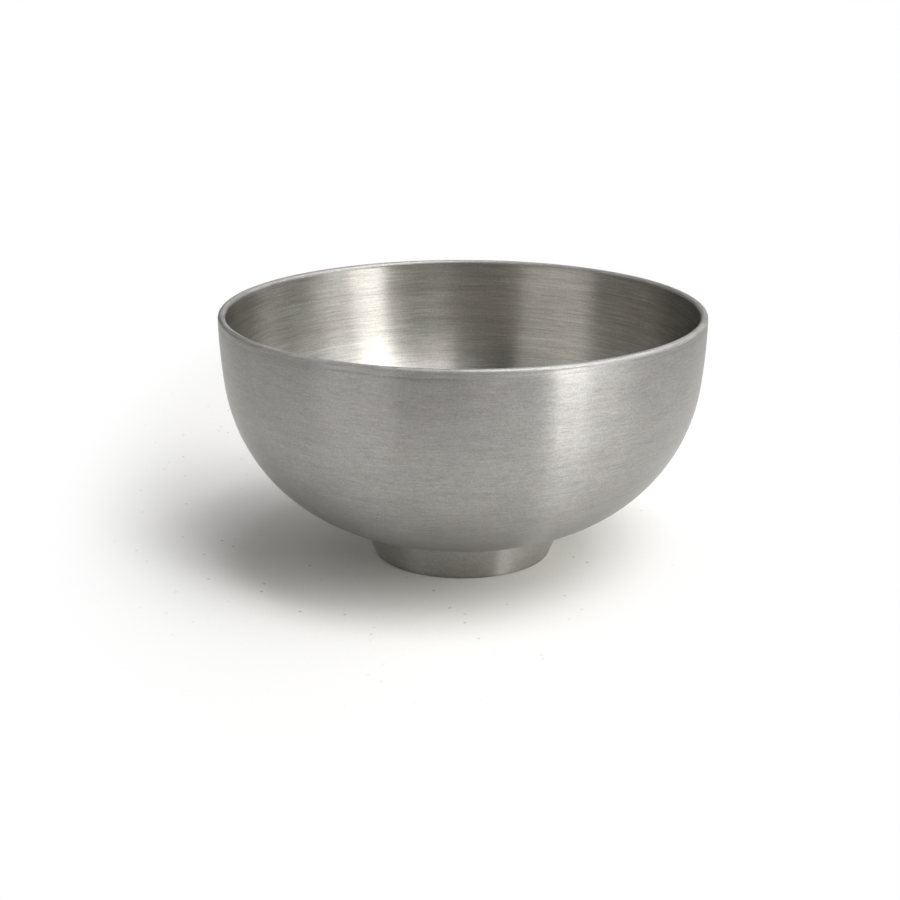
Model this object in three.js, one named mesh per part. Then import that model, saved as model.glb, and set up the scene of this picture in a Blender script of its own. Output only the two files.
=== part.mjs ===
// A footed shaving bowl of brushed stainless steel: two pressed shells that meet at a
// rolled lip, a turned ring as the foot, and a plugged vent underneath.
// Millimetres, +Z up. The origin is on the table, under the middle of the foot.

import * as THREE from 'three';

// Outside of the bowl
const RIM_RADIUS = 57.5;
const BASE_HEIGHT = 5.9;
const WALL_ARC_RADIUS = 146;
const BELLY_ARC_RADIUS = 41;

// Turns of the outline, in degrees
const WALL_DRAFT_ANGLE = 1.5;
const WALL_ARC_TURN = 5.5;
const BASE_ARC_TURN = 18;

// Sheet of both shells, and the air between them at the lip and under the middle
const SHELL_THICKNESS = 0.6;
const RIM_AIR_GAP = 0.5;
const BASE_AIR_GAP = 3;

// Lip: the liner's edge rolls over and down to the seam, where the wall is still upright
const SKIRT_HEIGHT = 1.2;
const SEAM_LAND = 0.8;

// Weld bead behind the seam
const SEAM_WELD_RISE = 0.4;
const SEAM_WELD_DROP = 0.5;

// Foot ring, and the weld in its inner corner
const FOOT_TOP_RADIUS = 24.7;
const FOOT_BOTTOM_RADIUS = 21.3;
const FOOT_WALL = 2;
const FOOT_EDGE_ROUND = 0.4;
const FOOT_WELD_LEG = 1.6;
const FOOT_WELD_HOLLOW_SHARE = 0.6;

// Vent in the middle of the outer shell, and the plug that is clinched in it
const VENT_RADIUS = 2;
const PLUG_CLEARANCE = 0.3;
const PLUG_HEAD_RADIUS = 4.5;
const PLUG_HEAD_THICKNESS = 1;
const PLUG_HEAD_ROUND = 0.4;
const PLUG_CLINCH_LAP = 0.8;
const PLUG_CLINCH_HEIGHT = 0.8;
const BASE_FLAT_MARGIN = 1.5;

// Fineness of the turned surfaces
const SECTORS = 48;
const WALL_ARC_STEPS = 2;
const BELLY_ARC_STEPS = 8;
const BASE_ARC_STEPS = 3;
const LIP_STEPS = 8;
const ROUND_STEPS = 3;

const point = (radius, height) => new THREE.Vector2(radius, height);

// Outline of the outer shell: three arcs that run into each other, from the upright
// land under the seam to the flat middle of the base. An angle of zero is upright, a
// quarter turn is level, and each arc's middle lies on the inner side of the wall.
const levelAngle = Math.PI / 2;
const wallStartAngle = THREE.MathUtils.degToRad(WALL_DRAFT_ANGLE);
const bellyStartAngle = wallStartAngle + THREE.MathUtils.degToRad(WALL_ARC_TURN);
const baseStartAngle = levelAngle - THREE.MathUtils.degToRad(BASE_ARC_TURN);
const baseFlatRadius = PLUG_HEAD_RADIUS + BASE_FLAT_MARGIN;

function arcReach(radius, start, end) {
  return radius * (Math.cos(start) - Math.cos(end));
}

function arcDepth(radius, start, end) {
  return radius * (Math.sin(end) - Math.sin(start));
}

const bellyStartRadius = RIM_RADIUS - arcReach(WALL_ARC_RADIUS, wallStartAngle, bellyStartAngle);
const baseStartRadius = bellyStartRadius - arcReach(BELLY_ARC_RADIUS, bellyStartAngle, baseStartAngle);
const baseArcRadius = (baseStartRadius - baseFlatRadius) / Math.cos(baseStartAngle);
const baseStartHeight = BASE_HEIGHT + arcDepth(baseArcRadius, baseStartAngle, levelAngle);
const bellyStartHeight = baseStartHeight + arcDepth(BELLY_ARC_RADIUS, bellyStartAngle, baseStartAngle);
const wallStartHeight = bellyStartHeight + arcDepth(WALL_ARC_RADIUS, wallStartAngle, bellyStartAngle);
const seamHeight = wallStartHeight + SEAM_LAND;
const lipHeight = seamHeight + SKIRT_HEIGHT;

const wallArc = {
  top: point(RIM_RADIUS, wallStartHeight),
  radius: WALL_ARC_RADIUS,
  start: wallStartAngle,
  end: bellyStartAngle,
  steps: WALL_ARC_STEPS,
};
const bellyArc = {
  top: point(bellyStartRadius, bellyStartHeight),
  radius: BELLY_ARC_RADIUS,
  start: bellyStartAngle,
  end: baseStartAngle,
  steps: BELLY_ARC_STEPS,
};
const baseArc = {
  top: point(baseStartRadius, baseStartHeight),
  radius: baseArcRadius,
  start: baseStartAngle,
  end: levelAngle,
  steps: BASE_ARC_STEPS,
};
const outlineArcs = [wallArc, bellyArc, baseArc];

// A station is a point of the outline with the outline's angle there
function stationOnArc(arc, angle) {
  const radius = arc.top.x - arcReach(arc.radius, arc.start, angle);
  const height = arc.top.y - arcDepth(arc.radius, arc.start, angle);
  return { place: point(radius, height), angle };
}

function stationAtRadius(radius) {
  const arc = outlineArcs.findLast((candidate) => candidate.top.x > radius);
  const cosine = Math.cos(arc.start) - (arc.top.x - radius) / arc.radius;
  return stationOnArc(arc, Math.acos(cosine));
}

// Where the foot ring and its weld meet the underside of the bowl
const footOuterSeat = stationAtRadius(FOOT_TOP_RADIUS);
const footLean = Math.atan2(FOOT_TOP_RADIUS - FOOT_BOTTOM_RADIUS, footOuterSeat.place.y);
const footRun = FOOT_WALL / Math.cos(footLean);
const footInnerSeat = stationAtRadius(FOOT_TOP_RADIUS - footRun);
const footWeldSeat = stationAtRadius(FOOT_TOP_RADIUS - footRun - FOOT_WELD_LEG);

// The stations of the outline in order. An arc's own steps are left out where the foot
// is seated, so that the ring and the weld sit on the same conical faces as the bowl.
function outlineStations() {
  const stations = [footOuterSeat, footInnerSeat, footWeldSeat];
  for (const arc of outlineArcs) {
    for (let step = 1; step <= arc.steps; step += 1) {
      const angle = THREE.MathUtils.lerp(arc.start, arc.end, step / arc.steps);
      const isUnderFoot = angle > footOuterSeat.angle && angle < footWeldSeat.angle;
      if (!isUnderFoot) {
        stations.push(stationOnArc(arc, angle));
      }
    }
  }
  stations.sort((first, second) => first.angle - second.angle);
  const landTop = { place: point(RIM_RADIUS, seamHeight), angle: 0 };
  const landBottom = { place: wallArc.top, angle: 0 };
  return [landTop, landBottom, ...stations];
}

const stations = outlineStations();

// A face of a shell, which lies inside the outline by a depth that may change on the way
function faceInside(depthAt) {
  return stations.map(({ place, angle }) => {
    const depth = depthAt(angle);
    return point(place.x - depth * Math.cos(angle), place.y + depth * Math.sin(angle));
  });
}

function airGapAt(angle) {
  return THREE.MathUtils.lerp(RIM_AIR_GAP, BASE_AIR_GAP, Math.sin(angle) ** 2);
}

function arcPoints(middle, radius, start, end, steps) {
  const points = [];
  for (let step = 0; step <= steps; step += 1) {
    const angle = THREE.MathUtils.lerp(start, end, step / steps);
    points.push(point(middle.x + radius * Math.cos(angle), middle.y + radius * Math.sin(angle)));
  }
  return points;
}

// The points of a round that takes the place of a corner between two straight sides
function roundedCorner(before, corner, after, radius) {
  const towardsBefore = before.clone().sub(corner).normalize();
  const towardsAfter = after.clone().sub(corner).normalize();
  const halfAngle = Math.acos(towardsBefore.dot(towardsAfter)) / 2;
  const setback = radius / Math.tan(halfAngle);
  const start = corner.clone().addScaledVector(towardsBefore, setback);
  const inward = towardsBefore.clone().add(towardsAfter).normalize();
  const middle = corner.clone().addScaledVector(inward, radius / Math.sin(halfAngle));
  const side = Math.sign(towardsBefore.cross(towardsAfter));
  const turn = side * (Math.PI - 2 * halfAngle);
  const points = [];
  for (let step = 0; step <= ROUND_STEPS; step += 1) {
    points.push(start.clone().rotateAround(middle, -turn * step / ROUND_STEPS));
  }
  return points;
}

// Outer shell, with the vent in the middle of its base
function outerBowlProfile() {
  const outside = faceInside(() => 0);
  const inside = faceInside(() => SHELL_THICKNESS);
  const ventTop = point(VENT_RADIUS, BASE_HEIGHT + SHELL_THICKNESS);
  const ventBottom = point(VENT_RADIUS, BASE_HEIGHT);
  return [ventBottom, ...outside.toReversed(), ...inside, ventTop, ventBottom];
}

// Liner, whose rolled edge leaves a narrow pocket between its wall and its skirt
function innerBowlProfile() {
  const outside = faceInside((angle) => SHELL_THICKNESS + airGapAt(angle));
  const inside = faceInside((angle) => 2 * SHELL_THICKNESS + airGapAt(angle));
  const pocketRadius = RIM_AIR_GAP / 2;
  const lipRadius = pocketRadius + SHELL_THICKNESS;
  const lipMiddle = point(RIM_RADIUS - lipRadius, lipHeight);
  return [
    point(0, outside.at(-1).y),
    ...outside.toReversed(),
    ...arcPoints(lipMiddle, pocketRadius, Math.PI, 0, LIP_STEPS / 2),
    point(RIM_RADIUS - SHELL_THICKNESS, seamHeight),
    point(RIM_RADIUS, seamHeight),
    ...arcPoints(lipMiddle, lipRadius, 0, Math.PI, LIP_STEPS),
    ...inside,
    point(0, inside.at(-1).y),
  ];
}

// Weld bead that closes the gap between the shells behind the seam
function rimWeldProfile() {
  const outerRadius = RIM_RADIUS - SHELL_THICKNESS;
  const innerRadius = outerRadius - RIM_AIR_GAP;
  const bottom = seamHeight - SEAM_WELD_DROP;
  const top = seamHeight + SEAM_WELD_RISE;
  return [
    point(innerRadius, bottom),
    point(outerRadius, bottom),
    point(outerRadius, top),
    point(innerRadius, top),
    point(innerRadius, bottom),
  ];
}

// Foot: a tapered ring that stands on a level face, with a small round on each lower edge
const footBottomOuter = point(FOOT_BOTTOM_RADIUS, 0);
const footBottomInner = point(FOOT_BOTTOM_RADIUS - footRun, 0);

function footRingProfile() {
  const round = Math.min(FOOT_EDGE_ROUND, FOOT_WALL / 3);
  return [
    footInnerSeat.place,
    ...roundedCorner(footInnerSeat.place, footBottomInner, footBottomOuter, round),
    ...roundedCorner(footBottomInner, footBottomOuter, footOuterSeat.place, round),
    footOuterSeat.place,
    footInnerSeat.place,
  ];
}

// Weld in the corner between the ring's inner side and the bowl, with a hollow face
function footWeldProfile() {
  const corner = footInnerSeat.place;
  const downTheRing = footBottomInner.clone().sub(corner).normalize();
  const ringEdge = corner.clone().addScaledVector(downTheRing, FOOT_WELD_LEG);
  const bowlEdge = footWeldSeat.place;
  const straightMiddle = ringEdge.clone().lerp(bowlEdge, 1 / 2);
  const hollowMiddle = straightMiddle.lerp(corner, FOOT_WELD_HOLLOW_SHARE);
  const hollow = new THREE.QuadraticBezierCurve(bowlEdge, hollowMiddle, ringEdge);
  return [corner, ...hollow.getPoints(ROUND_STEPS), corner];
}

// Plug: a low round head under the base, a shank through the vent, and a clinched end
function ventPlugProfile() {
  const shankRadius = VENT_RADIUS - PLUG_CLEARANCE;
  const headBottom = BASE_HEIGHT - PLUG_HEAD_THICKNESS;
  const clinchBottom = BASE_HEIGHT + SHELL_THICKNESS;
  const clinchTop = clinchBottom + PLUG_CLINCH_HEIGHT;
  const clinchRadius = VENT_RADIUS + PLUG_CLINCH_LAP;
  const headMiddle = point(0, headBottom);
  const headCorner = point(PLUG_HEAD_RADIUS, headBottom);
  const headSeat = point(PLUG_HEAD_RADIUS, BASE_HEIGHT);
  const round = Math.min(PLUG_HEAD_ROUND, PLUG_HEAD_THICKNESS / 2);
  return [
    headMiddle,
    ...roundedCorner(headMiddle, headCorner, headSeat, round),
    headSeat,
    point(shankRadius, BASE_HEIGHT),
    point(shankRadius, clinchBottom),
    point(clinchRadius, clinchBottom),
    point(shankRadius, clinchTop),
    point(0, clinchTop),
  ];
}

// Satin steel, a little duller where the parts weren't brushed
const brushedSteel = { color: 0xb5b2ac, roughness: 0.34, metalness: 1 };
const turnedSteel = { color: 0xb0ada7, roughness: 0.38, metalness: 1 };
const weldSteel = { color: 0x8f8c88, roughness: 0.5, metalness: 1 };

const bowl = new THREE.Group();

function addTurned(name, profile, finish) {
  const geometry = new THREE.LatheGeometry(profile, SECTORS);
  geometry.rotateX(Math.PI / 2);
  const mesh = new THREE.Mesh(geometry, new THREE.MeshStandardMaterial(finish));
  mesh.name = name;
  bowl.add(mesh);
}

addTurned('outer_bowl', outerBowlProfile(), brushedSteel);
addTurned('inner_bowl', innerBowlProfile(), brushedSteel);
addTurned('rim_weld', rimWeldProfile(), weldSteel);
addTurned('foot_ring', footRingProfile(), turnedSteel);
addTurned('foot_weld', footWeldProfile(), weldSteel);
addTurned('vent_plug', ventPlugProfile(), turnedSteel);

export default bowl;
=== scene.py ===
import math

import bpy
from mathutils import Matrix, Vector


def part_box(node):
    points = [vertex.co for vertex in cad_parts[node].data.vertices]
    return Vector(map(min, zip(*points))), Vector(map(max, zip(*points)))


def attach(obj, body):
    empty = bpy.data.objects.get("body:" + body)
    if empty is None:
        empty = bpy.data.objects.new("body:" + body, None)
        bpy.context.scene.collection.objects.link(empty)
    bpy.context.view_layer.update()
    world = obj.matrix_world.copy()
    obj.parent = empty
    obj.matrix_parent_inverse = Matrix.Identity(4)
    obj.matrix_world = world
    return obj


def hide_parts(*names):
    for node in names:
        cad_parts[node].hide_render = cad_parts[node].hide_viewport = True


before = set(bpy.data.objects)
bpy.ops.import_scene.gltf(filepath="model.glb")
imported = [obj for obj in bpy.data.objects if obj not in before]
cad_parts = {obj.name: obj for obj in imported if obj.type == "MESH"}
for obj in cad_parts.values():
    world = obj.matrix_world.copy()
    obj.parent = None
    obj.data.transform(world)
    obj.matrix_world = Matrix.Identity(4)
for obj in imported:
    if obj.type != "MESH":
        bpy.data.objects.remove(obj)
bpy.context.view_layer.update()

# A footed shaving bowl of brushed stainless steel, in metres. Its main sizes come from
# the frame, and the rest are named here.

MM = 0.001
TURN = 2 * math.pi
LEVEL = math.pi / 2
UPRIGHT = 0.0

# Sizes from the frame
outer_low, outer_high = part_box("outer_bowl")
liner_low, liner_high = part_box("inner_bowl")
foot_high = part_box("foot_ring")[1]
plug_low, plug_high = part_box("vent_plug")
bead_low, bead_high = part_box("rim_weld")
rim_radius = outer_high.x
seam_height = outer_high.z
base_height = outer_low.z
lip_top = liner_high.z
liner_base_height = liner_low.z
foot_top_radius = foot_high.x

# Shape of the shells
WALL_ARC_RADIUS = 146 * MM
BELLY_ARC_RADIUS = 41 * MM
WALL_DRAFT_ANGLE = math.radians(1.5)
WALL_ARC_TURN = math.radians(5.5)
BASE_ARC_TURN = math.radians(18)
BASE_FLAT_RADIUS = 6 * MM
SHELL_THICKNESS = 0.6 * MM
RIM_AIR_GAP = 0.5 * MM
SEAM_EDGE_ROUND = 0.02 * MM

# Shape of the foot, its weld and the plug
FOOT_BOTTOM_RADIUS = 21.3 * MM
FOOT_WALL = 2 * MM
FOOT_EDGE_ROUND = 0.4 * MM
FOOT_WELD_LEG = 1.6 * MM
FOOT_WELD_HOLLOW = 0.35
VENT_RADIUS = 2 * MM
PLUG_CLEARANCE = 0.3 * MM
PLUG_HEAD_ROUND = 0.45 * MM
CLINCH_WIDTH = 0.8 * MM

# Fineness of the turned surfaces
SECTORS = 288
SMALL_SECTORS = 96
ARC_STEP = 1.2 * MM
ROUND_STEPS = 6
WELD_FACE_STEPS = 12
LIP_STEPS = 28
JOIN_DISTANCE = 0.001 * MM
SHARP_ANGLE = math.radians(32)


# Node helpers

def new_group(name, kind, inputs, outputs):
    """A node group with named sockets, and its two end nodes."""
    group = bpy.data.node_groups.new(name, kind)
    for socket_name, socket_type, value in inputs:
        socket = group.interface.new_socket(socket_name, in_out="INPUT", socket_type=socket_type)
        if value is not None:
            socket.default_value = value
    for socket_name, socket_type in outputs:
        group.interface.new_socket(socket_name, in_out="OUTPUT", socket_type=socket_type)
    return group, group.nodes.new("NodeGroupInput"), group.nodes.new("NodeGroupOutput")


def add(tree, kind, inputs=None, **settings):
    """A node in the tree. Each input is a value, or an output socket to link from."""
    node = tree.nodes.new(kind)
    for name, value in settings.items():
        setattr(node, name, value)
    for key, value in (inputs or {}).items():
        if isinstance(value, bpy.types.NodeSocket):
            tree.links.new(value, node.inputs[key])
        else:
            node.inputs[key].default_value = value
    return node


def math_of(tree, operation, first, second=None, third=None):
    """A number that is worked out from others, which are values or sockets."""
    inputs = {i: v for i, v in enumerate((first, second, third)) if v is not None}
    return add(tree, "ShaderNodeMath", inputs, operation=operation).outputs[0]


# Outlines, as (radius, height) points

def point(radius, height):
    return Vector((radius, height))


def arc_points(middle, radius, start, end, steps):
    """Points along an arc, with both of its ends."""
    points = []
    for step in range(steps + 1):
        angle = start + (end - start) * step / steps
        points.append(point(middle.x + radius * math.cos(angle), middle.y + radius * math.sin(angle)))
    return points


def rounded_corner(before, corner, after, radius):
    """Points of a round in place of a corner between two straight sides."""
    to_before = (before - corner).normalized()
    to_after = (after - corner).normalized()
    half = math.acos(to_before.dot(to_after)) / 2
    middle = corner + (to_before + to_after).normalized() * radius / math.sin(half)
    start = corner + to_before * radius / math.tan(half) - middle
    end = corner + to_after * radius / math.tan(half) - middle
    first = math.atan2(start.y, start.x)
    turn = math.remainder(math.atan2(end.y, end.x) - first, TURN)
    return arc_points(middle, radius, first, first + turn, ROUND_STEPS)


class Arc:
    """A stretch of the outline. An angle of zero is upright and a quarter turn is level."""

    def __init__(self, top, radius, start, end):
        self.top, self.radius, self.start, self.end = top, radius, start, end

    def at(self, angle):
        reach = self.radius * (math.cos(self.start) - math.cos(angle))
        depth = self.radius * (math.sin(angle) - math.sin(self.start))
        return point(self.top.x - reach, self.top.y - depth)

    def angle_at(self, radius):
        return math.acos(math.cos(self.start) - (self.top.x - radius) / self.radius)


def outline_arcs():
    """The three arcs from the seam's land to the flat middle of the base."""
    belly_start = WALL_DRAFT_ANGLE + WALL_ARC_TURN
    base_start = LEVEL - BASE_ARC_TURN
    wall_reach = WALL_ARC_RADIUS * (math.cos(WALL_DRAFT_ANGLE) - math.cos(belly_start))
    belly_reach = BELLY_ARC_RADIUS * (math.cos(belly_start) - math.cos(base_start))
    base_radius = (rim_radius - wall_reach - belly_reach - BASE_FLAT_RADIUS) / math.cos(base_start)
    depth = WALL_ARC_RADIUS * (math.sin(belly_start) - math.sin(WALL_DRAFT_ANGLE))
    depth += BELLY_ARC_RADIUS * (math.sin(base_start) - math.sin(belly_start))
    depth += base_radius * (1 - math.sin(base_start))
    wall = Arc(point(rim_radius, base_height + depth), WALL_ARC_RADIUS, WALL_DRAFT_ANGLE, belly_start)
    belly = Arc(wall.at(wall.end), BELLY_ARC_RADIUS, belly_start, base_start)
    base = Arc(belly.at(belly.end), base_radius, base_start, LEVEL)
    return wall, belly, base


wall_arc, belly_arc, base_arc = outline_arcs()


def outline_stations():
    """Points of the outer shell's outside, each with the outline's angle there."""
    stations = [(wall_arc.top, UPRIGHT)]
    for arc in (wall_arc, belly_arc, base_arc):
        steps = math.ceil(arc.radius * (arc.end - arc.start) / ARC_STEP)
        for step in range(1, steps + 1):
            angle = arc.start + (arc.end - arc.start) * step / steps
            stations.append((arc.at(angle), angle))
    return stations


stations = outline_stations()


def face_inside(depth_at):
    """A face that lies inside the outline by a depth that may change on the way."""
    points = []
    for place, angle in stations:
        depth = depth_at(angle)
        points.append(place + depth * point(-math.cos(angle), math.sin(angle)))
    return points


base_air_gap = liner_base_height - base_height - SHELL_THICKNESS


def air_gap_at(angle):
    """The gap between the shells, which grows from the rim to the middle of the base."""
    return RIM_AIR_GAP + (base_air_gap - RIM_AIR_GAP) * math.sin(angle) ** 2


def outer_bowl_profile():
    outside = face_inside(lambda angle: 0)
    inside = face_inside(lambda angle: SHELL_THICKNESS)
    edge_outer = point(rim_radius, seam_height)
    edge_inner = point(rim_radius - SHELL_THICKNESS, seam_height)
    edge = rounded_corner(wall_arc.top, edge_outer, edge_inner, SEAM_EDGE_ROUND)
    vent_bottom = point(VENT_RADIUS, base_height)
    vent_top = point(VENT_RADIUS, base_height + SHELL_THICKNESS)
    return [vent_bottom, *reversed(outside), *edge, edge_inner, *inside, vent_top, vent_bottom]


def inner_bowl_profile():
    outside = face_inside(lambda angle: SHELL_THICKNESS + air_gap_at(angle))
    inside = face_inside(lambda angle: 2 * SHELL_THICKNESS + air_gap_at(angle))
    pocket_radius = RIM_AIR_GAP / 2
    lip_radius = pocket_radius + SHELL_THICKNESS
    lip_middle = point(rim_radius - lip_radius, lip_top - lip_radius)
    skirt_inner = point(rim_radius - SHELL_THICKNESS, seam_height)
    skirt_outer = point(rim_radius, seam_height)
    skirt_top = point(rim_radius, lip_middle.y)
    edge = rounded_corner(skirt_inner, skirt_outer, skirt_top, SEAM_EDGE_ROUND)
    return [
        point(0, outside[-1].y),
        *reversed(outside),
        *arc_points(lip_middle, pocket_radius, math.pi, 0, LIP_STEPS // 2),
        skirt_inner,
        *edge,
        *arc_points(lip_middle, lip_radius, 0, math.pi, LIP_STEPS),
        *inside,
        point(0, inside[-1].y),
    ]


def rim_weld_profile():
    inner_radius = rim_radius - SHELL_THICKNESS - RIM_AIR_GAP
    outer_radius = rim_radius - SHELL_THICKNESS
    corners = [
        point(inner_radius, bead_low.z),
        point(outer_radius, bead_low.z),
        point(outer_radius, bead_high.z),
        point(inner_radius, bead_high.z),
    ]
    return [*corners, corners[0]]


# The foot's side leans, so that its wall is a little wider when measured level
foot_lean = math.atan2(foot_top_radius - FOOT_BOTTOM_RADIUS, foot_high.z)
foot_run = FOOT_WALL / math.cos(foot_lean)


def seat_points(outer_radius, inner_radius, steps):
    """Points on the underside of the bowl from one radius in to another."""
    start = base_arc.angle_at(outer_radius)
    end = base_arc.angle_at(inner_radius)
    return [base_arc.at(start + (end - start) * step / steps) for step in range(steps + 1)]


def foot_ring_profile():
    seat = seat_points(foot_top_radius, foot_top_radius - foot_run, ROUND_STEPS)
    bottom_outer = point(FOOT_BOTTOM_RADIUS, 0)
    bottom_inner = point(FOOT_BOTTOM_RADIUS - foot_run, 0)
    return [
        seat[-1],
        *rounded_corner(seat[-1], bottom_inner, bottom_outer, FOOT_EDGE_ROUND),
        *rounded_corner(bottom_inner, bottom_outer, seat[0], FOOT_EDGE_ROUND),
        *seat,
    ]


def foot_weld_profile():
    seat_radius = foot_top_radius - foot_run
    seat = seat_points(seat_radius, seat_radius - FOOT_WELD_LEG, ROUND_STEPS)
    corner, bowl_edge = seat[0], seat[-1]
    bottom_inner = point(FOOT_BOTTOM_RADIUS - foot_run, 0)
    ring_edge = corner + (bottom_inner - corner).normalized() * FOOT_WELD_LEG
    middle = (bowl_edge + ring_edge) / 2
    hollow = middle.lerp(corner, FOOT_WELD_HOLLOW)
    face = []
    for step in range(WELD_FACE_STEPS + 1):
        share = step / WELD_FACE_STEPS
        face.append(bowl_edge.lerp(hollow, share).lerp(hollow.lerp(ring_edge, share), share))
    return [*seat, *face[1:], corner]


def vent_plug_profile():
    head_radius = plug_high.x
    shank_radius = VENT_RADIUS - PLUG_CLEARANCE
    clinch_bottom = base_height + SHELL_THICKNESS
    clinch_radius = VENT_RADIUS + CLINCH_WIDTH
    head_middle = point(0, plug_low.z)
    head_corner = point(head_radius, plug_low.z)
    head_seat = point(head_radius, base_height)
    return [
        head_middle,
        *rounded_corner(head_middle, head_corner, head_seat, PLUG_HEAD_ROUND),
        head_seat,
        point(shank_radius, base_height),
        point(shank_radius, clinch_bottom),
        point(clinch_radius, clinch_bottom),
        point(shank_radius, plug_high.z),
        point(0, plug_high.z),
    ]


# Turning: a profile goes round the upright axis

def turning_tree():
    """Copies the profile's points to every sector, then joins the seam and the poles."""
    tree, start, end = new_group("turning", "GeometryNodeTree", [
        ("Profile", "NodeSocketGeometry", None),
        ("Sectors", "NodeSocketInt", SECTORS),
        ("Join Distance", "NodeSocketFloat", JOIN_DISTANCE),
        ("Sharp Angle", "NodeSocketFloat", SHARP_ANGLE),
        ("Material", "NodeSocketMaterial", None),
    ], [("Geometry", "NodeSocketGeometry")])
    profile = start.outputs["Profile"]
    rows = add(tree, "GeometryNodeAttributeDomainSize", {"Geometry": profile}).outputs["Point Count"]
    columns = math_of(tree, "ADD", start.outputs["Sectors"], 1)
    grid = add(tree, "GeometryNodeMeshGrid", {"Vertices X": rows, "Vertices Y": columns})
    index = add(tree, "GeometryNodeInputIndex").outputs[0]
    row = math_of(tree, "FLOOR", math_of(tree, "DIVIDE", math_of(tree, "ADD", index, 0.5), columns))
    column = math_of(tree, "SUBTRACT", index, math_of(tree, "MULTIPLY", row, columns))
    turn = math_of(tree, "DIVIDE", math_of(tree, "MULTIPLY", column, TURN), start.outputs["Sectors"])
    sample = add(tree, "GeometryNodeSampleIndex", {"Geometry": profile, "Index": row},
                 data_type="FLOAT_VECTOR", domain="POINT")
    tree.links.new(add(tree, "GeometryNodeInputPosition").outputs[0], sample.inputs["Value"])
    place = add(tree, "ShaderNodeVectorRotate", {"Vector": sample.outputs["Value"], "Angle": turn},
                rotation_type="Z_AXIS").outputs[0]
    turned_grid = add(tree, "GeometryNodeSetPosition", {"Geometry": grid.outputs["Mesh"], "Position": place})
    joined = add(tree, "GeometryNodeMergeByDistance",
                 {"Geometry": turned_grid.outputs[0], "Distance": start.outputs["Join Distance"]})
    corner = add(tree, "GeometryNodeInputMeshEdgeAngle").outputs["Unsigned Angle"]
    is_smooth = math_of(tree, "LESS_THAN", corner, start.outputs["Sharp Angle"])
    faces = add(tree, "GeometryNodeSetShadeSmooth", {"Geometry": joined.outputs[0]}, domain="FACE")
    edges = add(tree, "GeometryNodeSetShadeSmooth", {"Geometry": faces.outputs[0]}, domain="EDGE")
    tree.links.new(is_smooth, edges.inputs["Shade Smooth"])
    real = add(tree, "GeometryNodeRealizeInstances", {"Geometry": edges.outputs[0]})
    dressed = add(tree, "GeometryNodeSetMaterial",
                  {"Geometry": real.outputs[0], "Material": start.outputs["Material"]})
    tree.links.new(dressed.outputs[0], end.inputs["Geometry"])
    return tree


def socket_id(tree, name):
    """The identifier by which a modifier knows one of its tree's inputs."""
    return next(item.identifier for item in tree.interface.items_tree
                if item.item_type == "SOCKET" and item.in_out == "INPUT" and item.name == name)


def signed_volume(mesh):
    """The volume inside a closed mesh, which comes out negative when its faces point inwards."""
    mesh.calc_loop_triangles()
    total = 0.0
    for triangle in mesh.loop_triangles:
        first, second, third = (mesh.vertices[i].co for i in triangle.vertices)
        total += first.cross(second).dot(third) / 6
    return total


def shaped(name, profile, tree, values):
    """A plain mesh made by a tree from a profile."""
    line = bpy.data.meshes.new(name)
    edges = [(i, i + 1) for i in range(len(profile) - 1)]
    line.from_pydata([(p.x, 0, p.y) for p in profile], edges, [])
    piece = bpy.data.objects.new(name, line)
    bpy.context.scene.collection.objects.link(piece)
    modifier = piece.modifiers.new("Turning", "NODES")
    modifier.node_group = tree
    for socket_name, value in values.items():
        modifier[socket_id(tree, socket_name)] = value
    depsgraph = bpy.context.evaluated_depsgraph_get()
    made = bpy.data.meshes.new_from_object(piece.evaluated_get(depsgraph))
    piece.modifiers.remove(modifier)
    piece.data = made
    made.name = name
    bpy.data.meshes.remove(line)
    if signed_volume(made) < 0:
        made.flip_normals()
    return piece


turning = turning_tree()


def turned(name, node, profile, sectors, material):
    """A turned piece that stands for a node of the frame."""
    piece = shaped(name, profile, turning, {"Sectors": sectors, "Material": material})
    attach(piece, "root")
    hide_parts(node)


# Finishes. Brushing goes round the bowl, so its marks are long round the axis and thin across.

AXIS = (0, 0, 1)
LEVEL_SHARE = (1, 1, 0)
QUARTER_TURN = 0.25
NOISE_MIDDLE = 0.5
NOISE_REACH = 0.2

# Layers of brush marks: their shares of the marks round the axis and across it, and a shift
THIN_MARKS = (1.6, 1.4, 0.0)
MIDDLE_MARKS = (0.8, 0.6, 31.0)
BROAD_MARKS = (0.25, 0.16, 67.0)
THIN_SHARE = 0.65

# Noises: their scale, their finer layers and how strong those are. All but the first one read
# places in metres.
BRUSHING = (1.0, 2.0, 0.6)
MOTTLE = (110.0, 3.0, 0.55)
STEEL_GRAIN = (2600.0, 1.0, 0.5)
STEEL_TINT = (150.0, 2.0, 0.5)
LIP_RUBBING = (12000.0, 0.0, 0.5)
WELD_GRAIN = (1800.0, 3.0, 0.5)
WELD_TINT = (160.0, 2.0, 0.5)
PAPER_GRAIN = (1500.0, 2.0, 0.5)

# Changes to the steel's tone, roughness and tint, and how softly a pit ends
SWEEP_SHARE = 1 / 3
MOTTLE_TONE = 0.04
GRAIN_TONE = 0.10
PIT_DARKENING = 0.45
PIT_EDGE = (0.6, 1.4)
MARKS_ROUGHNESS = 0.03
MOTTLE_ROUGHNESS = 0.012
GREEN_TINT = (0.985, 1.005, 0.995)
PINK_TINT = (1.015, 0.995, 1.005)

# Colours, as a share of the light that each gives back
OUTSIDE_COLOUR = (0.415, 0.405, 0.386)
INSIDE_COLOUR = (0.51, 0.494, 0.454)
LIP_COLOUR = (0.5, 0.492, 0.472)
FOOT_COLOUR = (0.475, 0.463, 0.44)
WELD_GREY = (0.30, 0.28, 0.26, 1)
WELD_STRAW = (0.33, 0.285, 0.215, 1)

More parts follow.
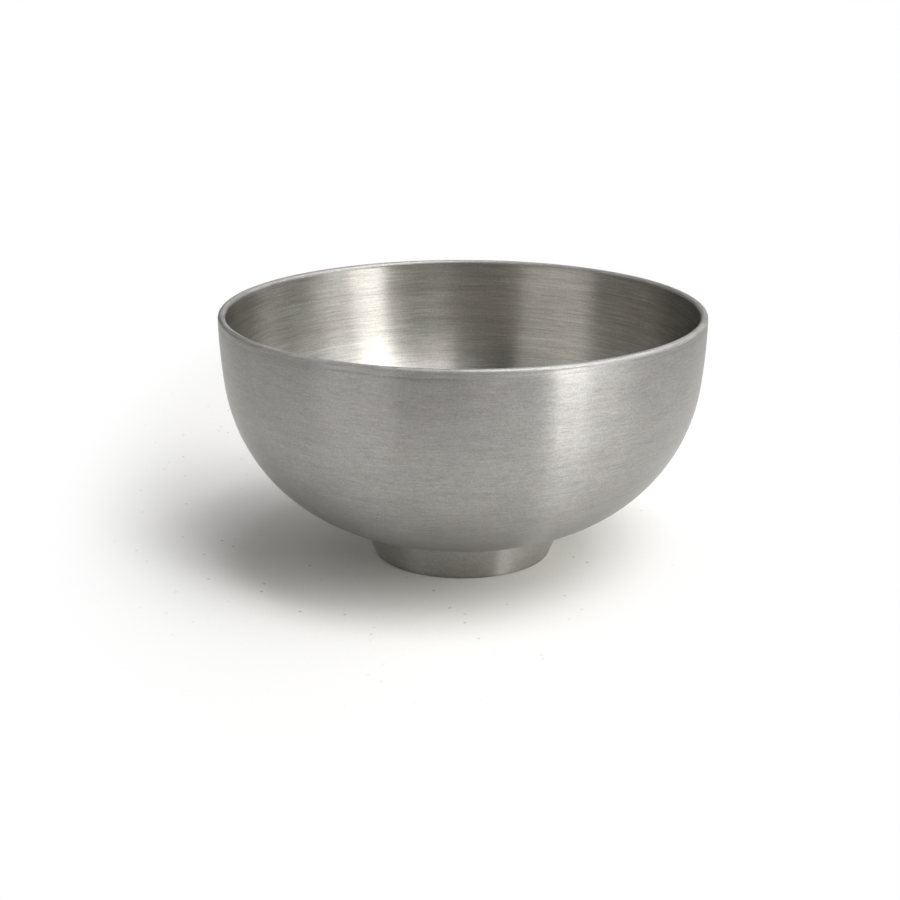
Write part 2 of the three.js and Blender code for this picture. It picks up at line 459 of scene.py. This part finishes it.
# The skirt starts outside the inner wall and the lip starts below its top, each within a fade
INNER_WALL_RADIUS = rim_radius - 2 * SHELL_THICKNESS - RIM_AIR_GAP
SKIRT_FADE = (INNER_WALL_RADIUS + 0.1 * MM, INNER_WALL_RADIUS + 0.4 * MM)
LIP_FADE = (lip_top - 0.95 * MM, lip_top - 0.75 * MM)
LIP_ROUGHNESS = 0.45

# Painted shade: colour painted darker near two corners, between the bowl and the foot, and between the foot
# and the table
BOWL_SHADE_HEIGHTS = (foot_high.z, foot_high.z + 34 * MM)
FOOT_SHADE_HEIGHTS = (0, 1.2 * MM)
BOWL_SHADE_TONE = 0.5
FOOT_SHADE_TONE = 0.7

# Roughness and relief of the weld metal
WELD_ROUGHNESS = (0.40, 0.58)
WELD_RIPPLES = 84
WELD_RIPPLE_HEIGHT = 0.05 * MM
WELD_GRAIN_SHARE = 0.4


def vector_of(tree, operation, first, second=None):
    """A vector that is worked out from one or two others, which are values or sockets."""
    inputs = {i: v for i, v in enumerate((first, second)) if v is not None}
    return add(tree, "ShaderNodeVectorMath", inputs, operation=operation).outputs["Vector"]


def length_of(tree, vector):
    return add(tree, "ShaderNodeVectorMath", {0: vector}, operation="LENGTH").outputs["Value"]


def scaled(tree, vector, factor):
    return add(tree, "ShaderNodeVectorMath", {0: vector, 3: factor}, operation="SCALE").outputs["Vector"]


def place_of(tree):
    """The shaded point in the object's own space."""
    return add(tree, "ShaderNodeTexCoord").outputs["Object"]


def split(tree, vector):
    return add(tree, "ShaderNodeSeparateXYZ", {0: vector}).outputs


def noise(tree, place, scale, detail, roughness):
    return add(tree, "ShaderNodeTexNoise", {
        "Vector": place, "Scale": scale, "Detail": detail, "Roughness": roughness,
    }).outputs[0]


def ranged(tree, value, given, wanted=(0.0, 1.0), **settings):
    """A number that crosses the wanted range while another crosses the given one, and stays in it."""
    return add(tree, "ShaderNodeMapRange", {
        "Value": value, "From Min": given[0], "From Max": given[1],
        "To Min": wanted[0], "To Max": wanted[1],
    }, **settings).outputs[0]


def spread(tree, value, low_high):
    """A number that goes from one value to another as noise goes either side of its middle."""
    return ranged(tree, value, (NOISE_MIDDLE - NOISE_REACH, NOISE_MIDDLE + NOISE_REACH), low_high)


def blended(tree, share, first, second):
    """A colour that goes from the first to the second as the share goes from nought to one."""
    return add(tree, "ShaderNodeMix", {0: share, 6: first, 7: second}, data_type="RGBA").outputs[2]


def with_tint(colour, tint):
    return (*(part * change for part, change in zip(colour, tint)), 1)


def relief_normal(tree, height, depth):
    """The normal of a surface whose relief has this depth."""
    return add(tree, "ShaderNodeBump", {"Height": height, "Distance": depth, "Strength": 1.0}).outputs[0]


def new_material(name):
    """A material, with its nodes and its shader."""
    material = bpy.data.materials.new(name)
    material.use_nodes = True
    return material, material.node_tree, material.node_tree.nodes["Principled BSDF"]


def brush_marks_group():
    """Marks left by brushing, soft mottling and fine grain, from a point's place round the axis."""
    tree, start, end = new_group("brush_marks", "ShaderNodeTree", [
        ("Marks per Radian", "NodeSocketFloat", 5.0),
        ("Marks per Metre", "NodeSocketFloat", 2400.0),
        ("Seed", "NodeSocketFloat", 0.0),
    ], [(name, "NodeSocketFloat") for name in ("Marks", "Sweep", "Mottle", "Grain", "Tint")])
    given = start.outputs
    place = place_of(tree)
    outward = vector_of(tree, "MULTIPLY", place, LEVEL_SHARE)
    on_circle = vector_of(tree, "NORMALIZE", outward)
    across = math_of(tree, "ADD", split(tree, place)["Z"], length_of(tree, outward))

    def layer(round_share, across_share, shift):
        """Noise that is stretched round the axis."""
        turn = math_of(tree, "MULTIPLY", given["Marks per Radian"], round_share)
        rows = math_of(tree, "MULTIPLY", given["Marks per Metre"], across_share)
        first_row = math_of(tree, "ADD", given["Seed"], shift)
        row = math_of(tree, "MULTIPLY_ADD", across, rows, first_row)
        rise = add(tree, "ShaderNodeCombineXYZ", {"Z": row}).outputs[0]
        return noise(tree, vector_of(tree, "ADD", scaled(tree, on_circle, turn), rise), *BRUSHING)

    thin = math_of(tree, "MULTIPLY", layer(*THIN_MARKS), THIN_SHARE)
    middle = math_of(tree, "MULTIPLY", layer(*MIDDLE_MARKS), 1 - THIN_SHARE)
    results = {
        "Marks": math_of(tree, "ADD", thin, middle),
        "Sweep": layer(*BROAD_MARKS),
        "Mottle": noise(tree, place, *MOTTLE),
        "Grain": noise(tree, place, *STEEL_GRAIN),
        "Tint": noise(tree, place, *STEEL_TINT),
    }
    for name, value in results.items():
        tree.links.new(value, end.inputs[name])
    return tree


def pits_group():
    """A mask of a few tiny pits, one here and there."""
    tree, start, end = new_group("pits", "ShaderNodeTree", [
        ("Cells per Metre", "NodeSocketFloat", 90.0),
        ("Pit Radius", "NodeSocketFloat", 0.22 * MM),
        ("Share", "NodeSocketFloat", 0.12),
    ], [("Pit", "NodeSocketFloat")])
    given = start.outputs
    cells = add(tree, "ShaderNodeTexVoronoi", {
        "Vector": place_of(tree), "Scale": given["Cells per Metre"], "Randomness": 1.0,
    }, feature="F1").outputs
    reach = math_of(tree, "DIVIDE", cells["Distance"], given["Cells per Metre"])
    inside = ranged(tree, math_of(tree, "DIVIDE", reach, given["Pit Radius"]), PIT_EDGE, (1.0, 0.0))
    drawn = add(tree, "ShaderNodeSeparateColor", {0: cells["Color"]}).outputs[0]
    chosen = math_of(tree, "LESS_THAN", drawn, given["Share"])
    tree.links.new(math_of(tree, "MULTIPLY", inside, chosen), end.inputs["Pit"])
    return tree


brush_marks = brush_marks_group()
pits = pits_group()


def brushed_steel(name, colour, roughness, marks, tone, relief, corner=None, rim=None):
    """Steel brushed round the axis. The marks change its tone, its roughness and its relief.

    The marks have their number per radian round the axis and per metre across it, and a seed.
    A corner gets painted shade, so its colour is darker there. It has two heights and the tone at the
    first of them, and the steel is back to its own tone at the second.
    A rim gives the skirt outside the inner wall its colour, and the lip above both a colour and
    a roughness. The lip is rubbed in every direction, so its tangents are turned at random.
    """
    material, tree, shader = new_material(name)
    shader.inputs["Metallic"].default_value = 1
    shader.inputs["Anisotropic"].default_value = 1.0
    # The tangent runs along the marks, and the gloss spreads across them
    shader.inputs["Anisotropic Rotation"].default_value = QUARTER_TURN
    place = place_of(tree)
    height = split(tree, place)["Z"]
    along = vector_of(tree, "NORMALIZE", vector_of(tree, "CROSS_PRODUCT", AXIS, place))

    per_radian, per_metre, seed = marks
    brushing = add(tree, "ShaderNodeGroup", {
        "Marks per Radian": per_radian, "Marks per Metre": per_metre, "Seed": seed,
    }, node_tree=brush_marks).outputs
    pitting = add(tree, "ShaderNodeGroup", node_tree=pits).outputs["Pit"]
    tones = spread(tree, brushing["Marks"], (1 - tone, 1 + tone))
    for output, change in (("Sweep", tone * SWEEP_SHARE), ("Mottle", MOTTLE_TONE), ("Grain", GRAIN_TONE)):
        tones = math_of(tree, "MULTIPLY", tones, spread(tree, brushing[output], (1 - change, 1 + change)))
    unpitted = math_of(tree, "MULTIPLY_ADD", pitting, -PIT_DARKENING, 1.0)
    tones = math_of(tree, "MULTIPLY", tones, unpitted)
    # Painted shade: the colour darkens below the second height of the corner
    if corner:
        shade_heights, shade_tone = corner
        clear = math_of(tree, "SQRT", ranged(tree, height, shade_heights))
        painted_shade = math_of(tree, "MULTIPLY_ADD", clear, 1 - shade_tone, shade_tone)
        tones = math_of(tree, "MULTIPLY", tones, painted_shade)
    by_marks = spread(tree, brushing["Marks"], (roughness - MARKS_ROUGHNESS, roughness + MARKS_ROUGHNESS))
    by_mottle = spread(tree, brushing["Mottle"], (-MOTTLE_ROUGHNESS, MOTTLE_ROUGHNESS))
    rough = math_of(tree, "ADD", by_marks, by_mottle)
    tint = spread(tree, brushing["Tint"], (0, 1))
    base = blended(tree, tint, with_tint(colour, GREEN_TINT), with_tint(colour, PINK_TINT))
    if rim:
        skirt_colour, lip_colour, lip_roughness = rim
        radius = length_of(tree, vector_of(tree, "MULTIPLY", place, LEVEL_SHARE))
        on_lip = ranged(tree, height, LIP_FADE)
        base = blended(tree, ranged(tree, radius, SKIRT_FADE), base, (*skirt_colour, 1))
        base = blended(tree, on_lip, base, (*lip_colour, 1))
        rough = math_of(tree, "MULTIPLY_ADD", on_lip, lip_roughness - roughness, rough)
        rubbing = spread(tree, noise(tree, place, *LIP_RUBBING), (0, math.pi))
        facing = add(tree, "ShaderNodeNewGeometry").outputs["Normal"]
        along = add(tree, "ShaderNodeVectorRotate", {
            "Vector": along, "Axis": facing, "Angle": math_of(tree, "MULTIPLY", rubbing, on_lip),
        }, rotation_type="AXIS_ANGLE").outputs[0]
    tree.links.new(along, shader.inputs["Tangent"])
    tree.links.new(scaled(tree, base, tones), shader.inputs["Base Color"])
    tree.links.new(rough, shader.inputs["Roughness"])
    tree.links.new(relief_normal(tree, brushing["Marks"], relief), shader.inputs["Normal"])
    return material


def weld_metal():
    """Dull weld metal with a faint heat tint, a grain and the ripples of a weld bead."""
    material, tree, shader = new_material("weld_metal")
    shader.inputs["Metallic"].default_value = 1
    place = place_of(tree)
    tint = spread(tree, noise(tree, place, *WELD_TINT), (0, 1))
    grain = noise(tree, place, *WELD_GRAIN)
    tree.links.new(blended(tree, tint, WELD_GREY, WELD_STRAW), shader.inputs["Base Color"])
    tree.links.new(spread(tree, grain, WELD_ROUGHNESS), shader.inputs["Roughness"])
    parts = split(tree, place)
    turn = math_of(tree, "ARCTAN2", parts["Y"], parts["X"])
    # Each wave gives two ripples, because its lower half is turned up
    wave = math_of(tree, "SINE", math_of(tree, "MULTIPLY", turn, WELD_RIPPLES / 2))
    height = math_of(tree, "MULTIPLY_ADD", grain, WELD_GRAIN_SHARE, math_of(tree, "ABSOLUTE", wave))
    tree.links.new(relief_normal(tree, height, WELD_RIPPLE_HEIGHT), shader.inputs["Normal"])
    return material


# The outside is painted darker from the foot up, as painted shade
outer_brushed = brushed_steel(
    "outer_brushed", OUTSIDE_COLOUR, roughness=0.33, marks=(18, 3800, 5), tone=0.17,
    relief=0.001 * MM, corner=(BOWL_SHADE_HEIGHTS, BOWL_SHADE_TONE),
)
inner_brushed = brushed_steel(
    "inner_brushed", INSIDE_COLOUR, roughness=0.35, marks=(5, 3300, 17), tone=0.26,
    relief=0.0012 * MM, rim=(OUTSIDE_COLOUR, LIP_COLOUR, LIP_ROUGHNESS),
)
# The foot is painted darker next to the table, as painted contact shadow
foot_brushed = brushed_steel(
    "foot_brushed", FOOT_COLOUR, roughness=0.33, marks=(14, 3600, 29), tone=0.14,
    relief=0.001 * MM, corner=(FOOT_SHADE_HEIGHTS, FOOT_SHADE_TONE),
)
plug_brushed = brushed_steel(
    "plug_brushed", OUTSIDE_COLOUR, roughness=0.36, marks=(4, 3600, 43), tone=0.26,
    relief=0.001 * MM,
)
bare_weld = weld_metal()

turned("outer_bowl_shell", "outer_bowl", outer_bowl_profile(), SECTORS, outer_brushed)
turned("inner_bowl_liner", "inner_bowl", inner_bowl_profile(), SECTORS, inner_brushed)
turned("rim_weld_bead", "rim_weld", rim_weld_profile(), SECTORS, bare_weld)
turned("foot_ring_turned", "foot_ring", foot_ring_profile(), SECTORS, foot_brushed)
turned("foot_weld_bead", "foot_weld", foot_weld_profile(), SECTORS, bare_weld)
turned("vent_plug_head", "vent_plug", vent_plug_profile(), SMALL_SECTORS, plug_brushed)


# Studio. Azimuths go round from the camera's side, and positive ones lie on the right.

FLOOR_SIZE = 8.0
# The paper is painted warmer by the foot, as painted warm shade, and turns neutral further out
PAPER_WARM_SHADE_BY_THE_FOOT = (0.95, 0.94, 0.885, 1)
PAPER_FURTHER_OUT = (0.95, 0.945, 0.93, 1)
PAPER_FADE = (0.03, 0.07)
PAPER_TONES = (0.98, 1.02)
PAPER_ROUGHNESS = 0.9
SPECK_CELLS_PER_METRE = 300
SPECK_RADIUS = 0.35 * MM
SPECK_SHARE = 0.2
SPECK_DARKENING = 0.35

# The paper turns white for the camera outside the shadow, which lies under and behind the bowl and
# is longer from front to back than it is wide
SHADOW_MIDDLE = Vector((-0.018, 0.085, 0.0))
SHADOW_SHAPE = Vector((1.0, 0.46, 1.0))
WHITE_FADE = (0.057, 0.095)

# Painted light falloff: the paper's colour is painted darker as it lies further from the lamps' side
LAMP_SIDE = Vector((0.07, 0.0, 0.0))
PAINTED_FALLOFF_FADE = (0.09, 0.5)
PAINTED_FALLOFF_TONES = (1.0, 0.45)


def mixed_shader(tree, share, first, second):
    return add(tree, "ShaderNodeMixShader", {0: share, 1: first, 2: second}).outputs[0]


def floor_paper():
    """Off-white paper, which keeps the shadow and turns plain white for the camera further out.

    The steel sees the paper itself, whose colour is painted darker the further it is from the lamps,
    as painted falloff of light, and painted warmer by the foot, as painted warm shade.
    From below the paper is clear, and so is the part that the foot's recess covers, so that
    light gets into the recess and the underside can be looked at.
    """
    material, tree, shader = new_material("floor_paper")
    material.cycles.emission_sampling = "NONE"
    shader.inputs["Roughness"].default_value = PAPER_ROUGHNESS
    shader.inputs["Specular IOR Level"].default_value = 0
    place = place_of(tree)
    specks = add(tree, "ShaderNodeGroup", {
        "Cells per Metre": SPECK_CELLS_PER_METRE, "Pit Radius": SPECK_RADIUS, "Share": SPECK_SHARE,
    }, node_tree=pits).outputs["Pit"]
    grain = spread(tree, noise(tree, place, *PAPER_GRAIN), PAPER_TONES)
    from_lamps = length_of(tree, vector_of(tree, "SUBTRACT", place, LAMP_SIDE))
    tone = math_of(tree, "MULTIPLY_ADD", specks, -SPECK_DARKENING, grain)
    # Painted light falloff: the colour gets darker further from the lamps' side
    tone = math_of(tree, "MULTIPLY", tone, ranged(tree, from_lamps, PAINTED_FALLOFF_FADE, PAINTED_FALLOFF_TONES))
    away = length_of(tree, place)
    # Painted warm shade on the paper by the foot
    paper = blended(tree, ranged(tree, away, PAPER_FADE), PAPER_WARM_SHADE_BY_THE_FOOT, PAPER_FURTHER_OUT)
    tree.links.new(scaled(tree, paper, tone), shader.inputs["Base Color"])

    offset = vector_of(tree, "SUBTRACT", place, SHADOW_MIDDLE)
    past_shadow = length_of(tree, vector_of(tree, "MULTIPLY", offset, SHADOW_SHAPE))
    whiteness = ranged(tree, past_shadow, WHITE_FADE, interpolation_type="SMOOTHSTEP")
    seen_by_camera = add(tree, "ShaderNodeLightPath").outputs["Is Camera Ray"]
    white = add(tree, "ShaderNodeEmission", {"Color": (1, 1, 1, 1), "Strength": 1.0}).outputs[0]
    share = math_of(tree, "MULTIPLY", whiteness, seen_by_camera)
    from_above = mixed_shader(tree, share, shader.outputs[0], white)

    below = add(tree, "ShaderNodeNewGeometry").outputs["Backfacing"]
    in_recess = math_of(tree, "LESS_THAN", away, FOOT_BOTTOM_RADIUS - foot_run)
    is_clear = math_of(tree, "MAXIMUM", below, in_recess)
    clear = add(tree, "ShaderNodeBsdfTransparent").outputs[0]
    surface = mixed_shader(tree, is_clear, from_above, clear)
    tree.links.new(surface, tree.nodes["Material Output"].inputs["Surface"])
    return material


floor_mesh = bpy.data.meshes.new("floor")
half = FLOOR_SIZE / 2
corners = [(-half, -half, 0), (half, -half, 0), (half, half, 0), (-half, half, 0)]
floor_mesh.from_pydata(corners, [], [(0, 1, 2, 3)])
floor_mesh.materials.append(floor_paper())
floor = bpy.data.objects.new("floor", floor_mesh)
bpy.context.scene.collection.objects.link(floor)


def light_panel_group():
    """A softbox far off, as a patch of the sky with its own softness on each edge, in degrees."""
    tree, start, end = new_group("light_panel", "ShaderNodeTree", [
        (socket_name, "NodeSocketFloat", 0.0)
        for socket_name in ("Azimuth", "Elevation", "Start", "End", "Rise", "Fall", "Low", "High",
                            "Low Soft", "High Soft", "Radiance")
    ], [("Light", "NodeSocketFloat")])
    given = start.outputs

    def edge(value, place, softness, sign):
        """A smooth step across an edge, which goes up for a sign of one and down for minus one."""
        past = math_of(tree, "DIVIDE", math_of(tree, "SUBTRACT", value, place), softness)
        return ranged(tree, past, (-0.5, 0.5), ((1 - sign) / 2, (1 + sign) / 2),
                      interpolation_type="SMOOTHSTEP")

    middle = math_of(tree, "MULTIPLY", math_of(tree, "ADD", given["Start"], given["End"]), 0.5)
    half_width = math_of(tree, "MULTIPLY", math_of(tree, "SUBTRACT", given["End"], given["Start"]), 0.5)
    turned_by = math_of(tree, "WRAP", math_of(tree, "SUBTRACT", given["Azimuth"], middle), 180.0, -180.0)
    light = edge(turned_by, math_of(tree, "MULTIPLY", half_width, -1.0), given["Rise"], 1)
    for share in (
        edge(turned_by, half_width, given["Fall"], -1),
        edge(given["Elevation"], given["Low"], given["Low Soft"], 1),
        edge(given["Elevation"], given["High"], given["High Soft"], -1),
        given["Radiance"],
    ):
        light = math_of(tree, "MULTIPLY", light, share)
    tree.links.new(light, end.inputs["Light"])
    return tree


# Each panel has its azimuths and the softness of their ends, its elevations and theirs, and its radiance
LIGHT_PANELS = {
    "key": ((42, 60, 3, 8), (-4, 66, 4, 8), 3.5),
    "key_wing": ((42, 80, 3, 26), (-4, 70, 4, 12), 1.85),
    "key_top": ((14, 96, 12, 30), (66, 85, 8, 6), 6.0),
    "high_front": ((8, 43, 12, 3), (50, 70, 10, 8), 1.5),
    "front": ((8, 43, 12, 3), (34, 50, 8, 10), 0.9),
    "zenith": ((-180, 180, 1, 1), (84, 96, 6, 2), 8.5),
    "right_high": ((52, 112, 14, 30), (50, 72, 16, 10), 0.2),
    "right": ((64, 130, 24, 30), (16, 60, 16, 12), 1.68),
    "right_back": ((125, 165, 16, 16), (16, 64, 16, 16), 0.4),
    "high_left": ((-110, 0, 30, 14), (60, 86, 14, 6), 0.1),
    "high_back": ((112, 240, 30, 30), (64, 86, 14, 6), 0.5),
    "back_top": ((150, 212, 20, 20), (20, 64, 10, 14), 0.45),
    "backdrop": ((130, 230, 30, 30), (-10, 22, 2, 8), 0.1),
    "left_card": ((-70, -32, 10, 1.5), (-4, 42, 4, 10), 0.86),
    "left_side": ((-128, -70, 20, 10), (16, 62, 12, 14), 0.55),
    "room": ((-180, 180, 1, 1), (-92, 92, 1, 1), 0.025),
    "under_table": ((-180, 180, 1, 1), (-96, -55, 2, 20), 1.6),
}
light_panel = light_panel_group()


def studio_world():
    """A sky with the light panels in it, which the camera itself sees as plain white."""
    world = bpy.data.worlds.new("studio")
    world.use_nodes = True
    tree = world.node_tree
    direction = split(tree, add(tree, "ShaderNodeTexCoord").outputs["Generated"])
    toward_camera = math_of(tree, "MULTIPLY", direction["Y"], -1.0)
    azimuth = math_of(tree, "DEGREES", math_of(tree, "ARCTAN2", direction["X"], toward_camera))
    elevation = math_of(tree, "DEGREES", math_of(tree, "ARCSINE", direction["Z"]))
    light = add(tree, "ShaderNodeLightPath").outputs["Is Camera Ray"]
    for name, (azimuths, elevations, radiance) in LIGHT_PANELS.items():
        values = (azimuth, elevation, *azimuths, *elevations, radiance)
        panel = add(tree, "ShaderNodeGroup", dict(enumerate(values)), node_tree=light_panel)
        panel.name = name
        light = math_of(tree, "ADD", light, panel.outputs[0])
    tree.links.new(light, tree.nodes["Background"].inputs["Strength"])
    tree.nodes["Background"].inputs["Color"].default_value = (1, 1, 1, 1)
    return world


bpy.context.scene.world = studio_world()
bpy.context.scene.view_settings.view_transform = "Standard"

# Camera: it looks down at the bowl from the front. Its lens and sensor are in millimetres.
CAMERA_DISTANCE = 430 * MM
CAMERA_ELEVATION = math.radians(17.09)
CAMERA_AIM_HEIGHT = 28 * MM
AIM_RIGHT_OF_CENTRE = 3.01 * MM
AIM_ABOVE_CENTRE = 2.89 * MM
FOCAL_LENGTH = 71.16
SENSOR_WIDTH = 36
CLIP_START = 10 * MM

camera_data = bpy.data.cameras.new("camera")
camera_data.lens = FOCAL_LENGTH
camera_data.sensor_width = SENSOR_WIDTH
camera_data.clip_start = CLIP_START
camera = bpy.data.objects.new("camera", camera_data)
bpy.context.scene.collection.objects.link(camera)
back = Vector((0, -math.cos(CAMERA_ELEVATION), math.sin(CAMERA_ELEVATION)))
above = Vector((0, math.sin(CAMERA_ELEVATION), math.cos(CAMERA_ELEVATION)))
aim = Vector((0, 0, CAMERA_AIM_HEIGHT))
camera.location = aim + back * CAMERA_DISTANCE
centre = aim - Vector((AIM_RIGHT_OF_CENTRE, 0, 0)) - above * AIM_ABOVE_CENTRE
camera.rotation_mode = "QUATERNION"
camera.rotation_quaternion = (camera.location - centre).to_track_quat("Z", "Y")
bpy.context.scene.camera = camera

bpy.context.view_layer.update()
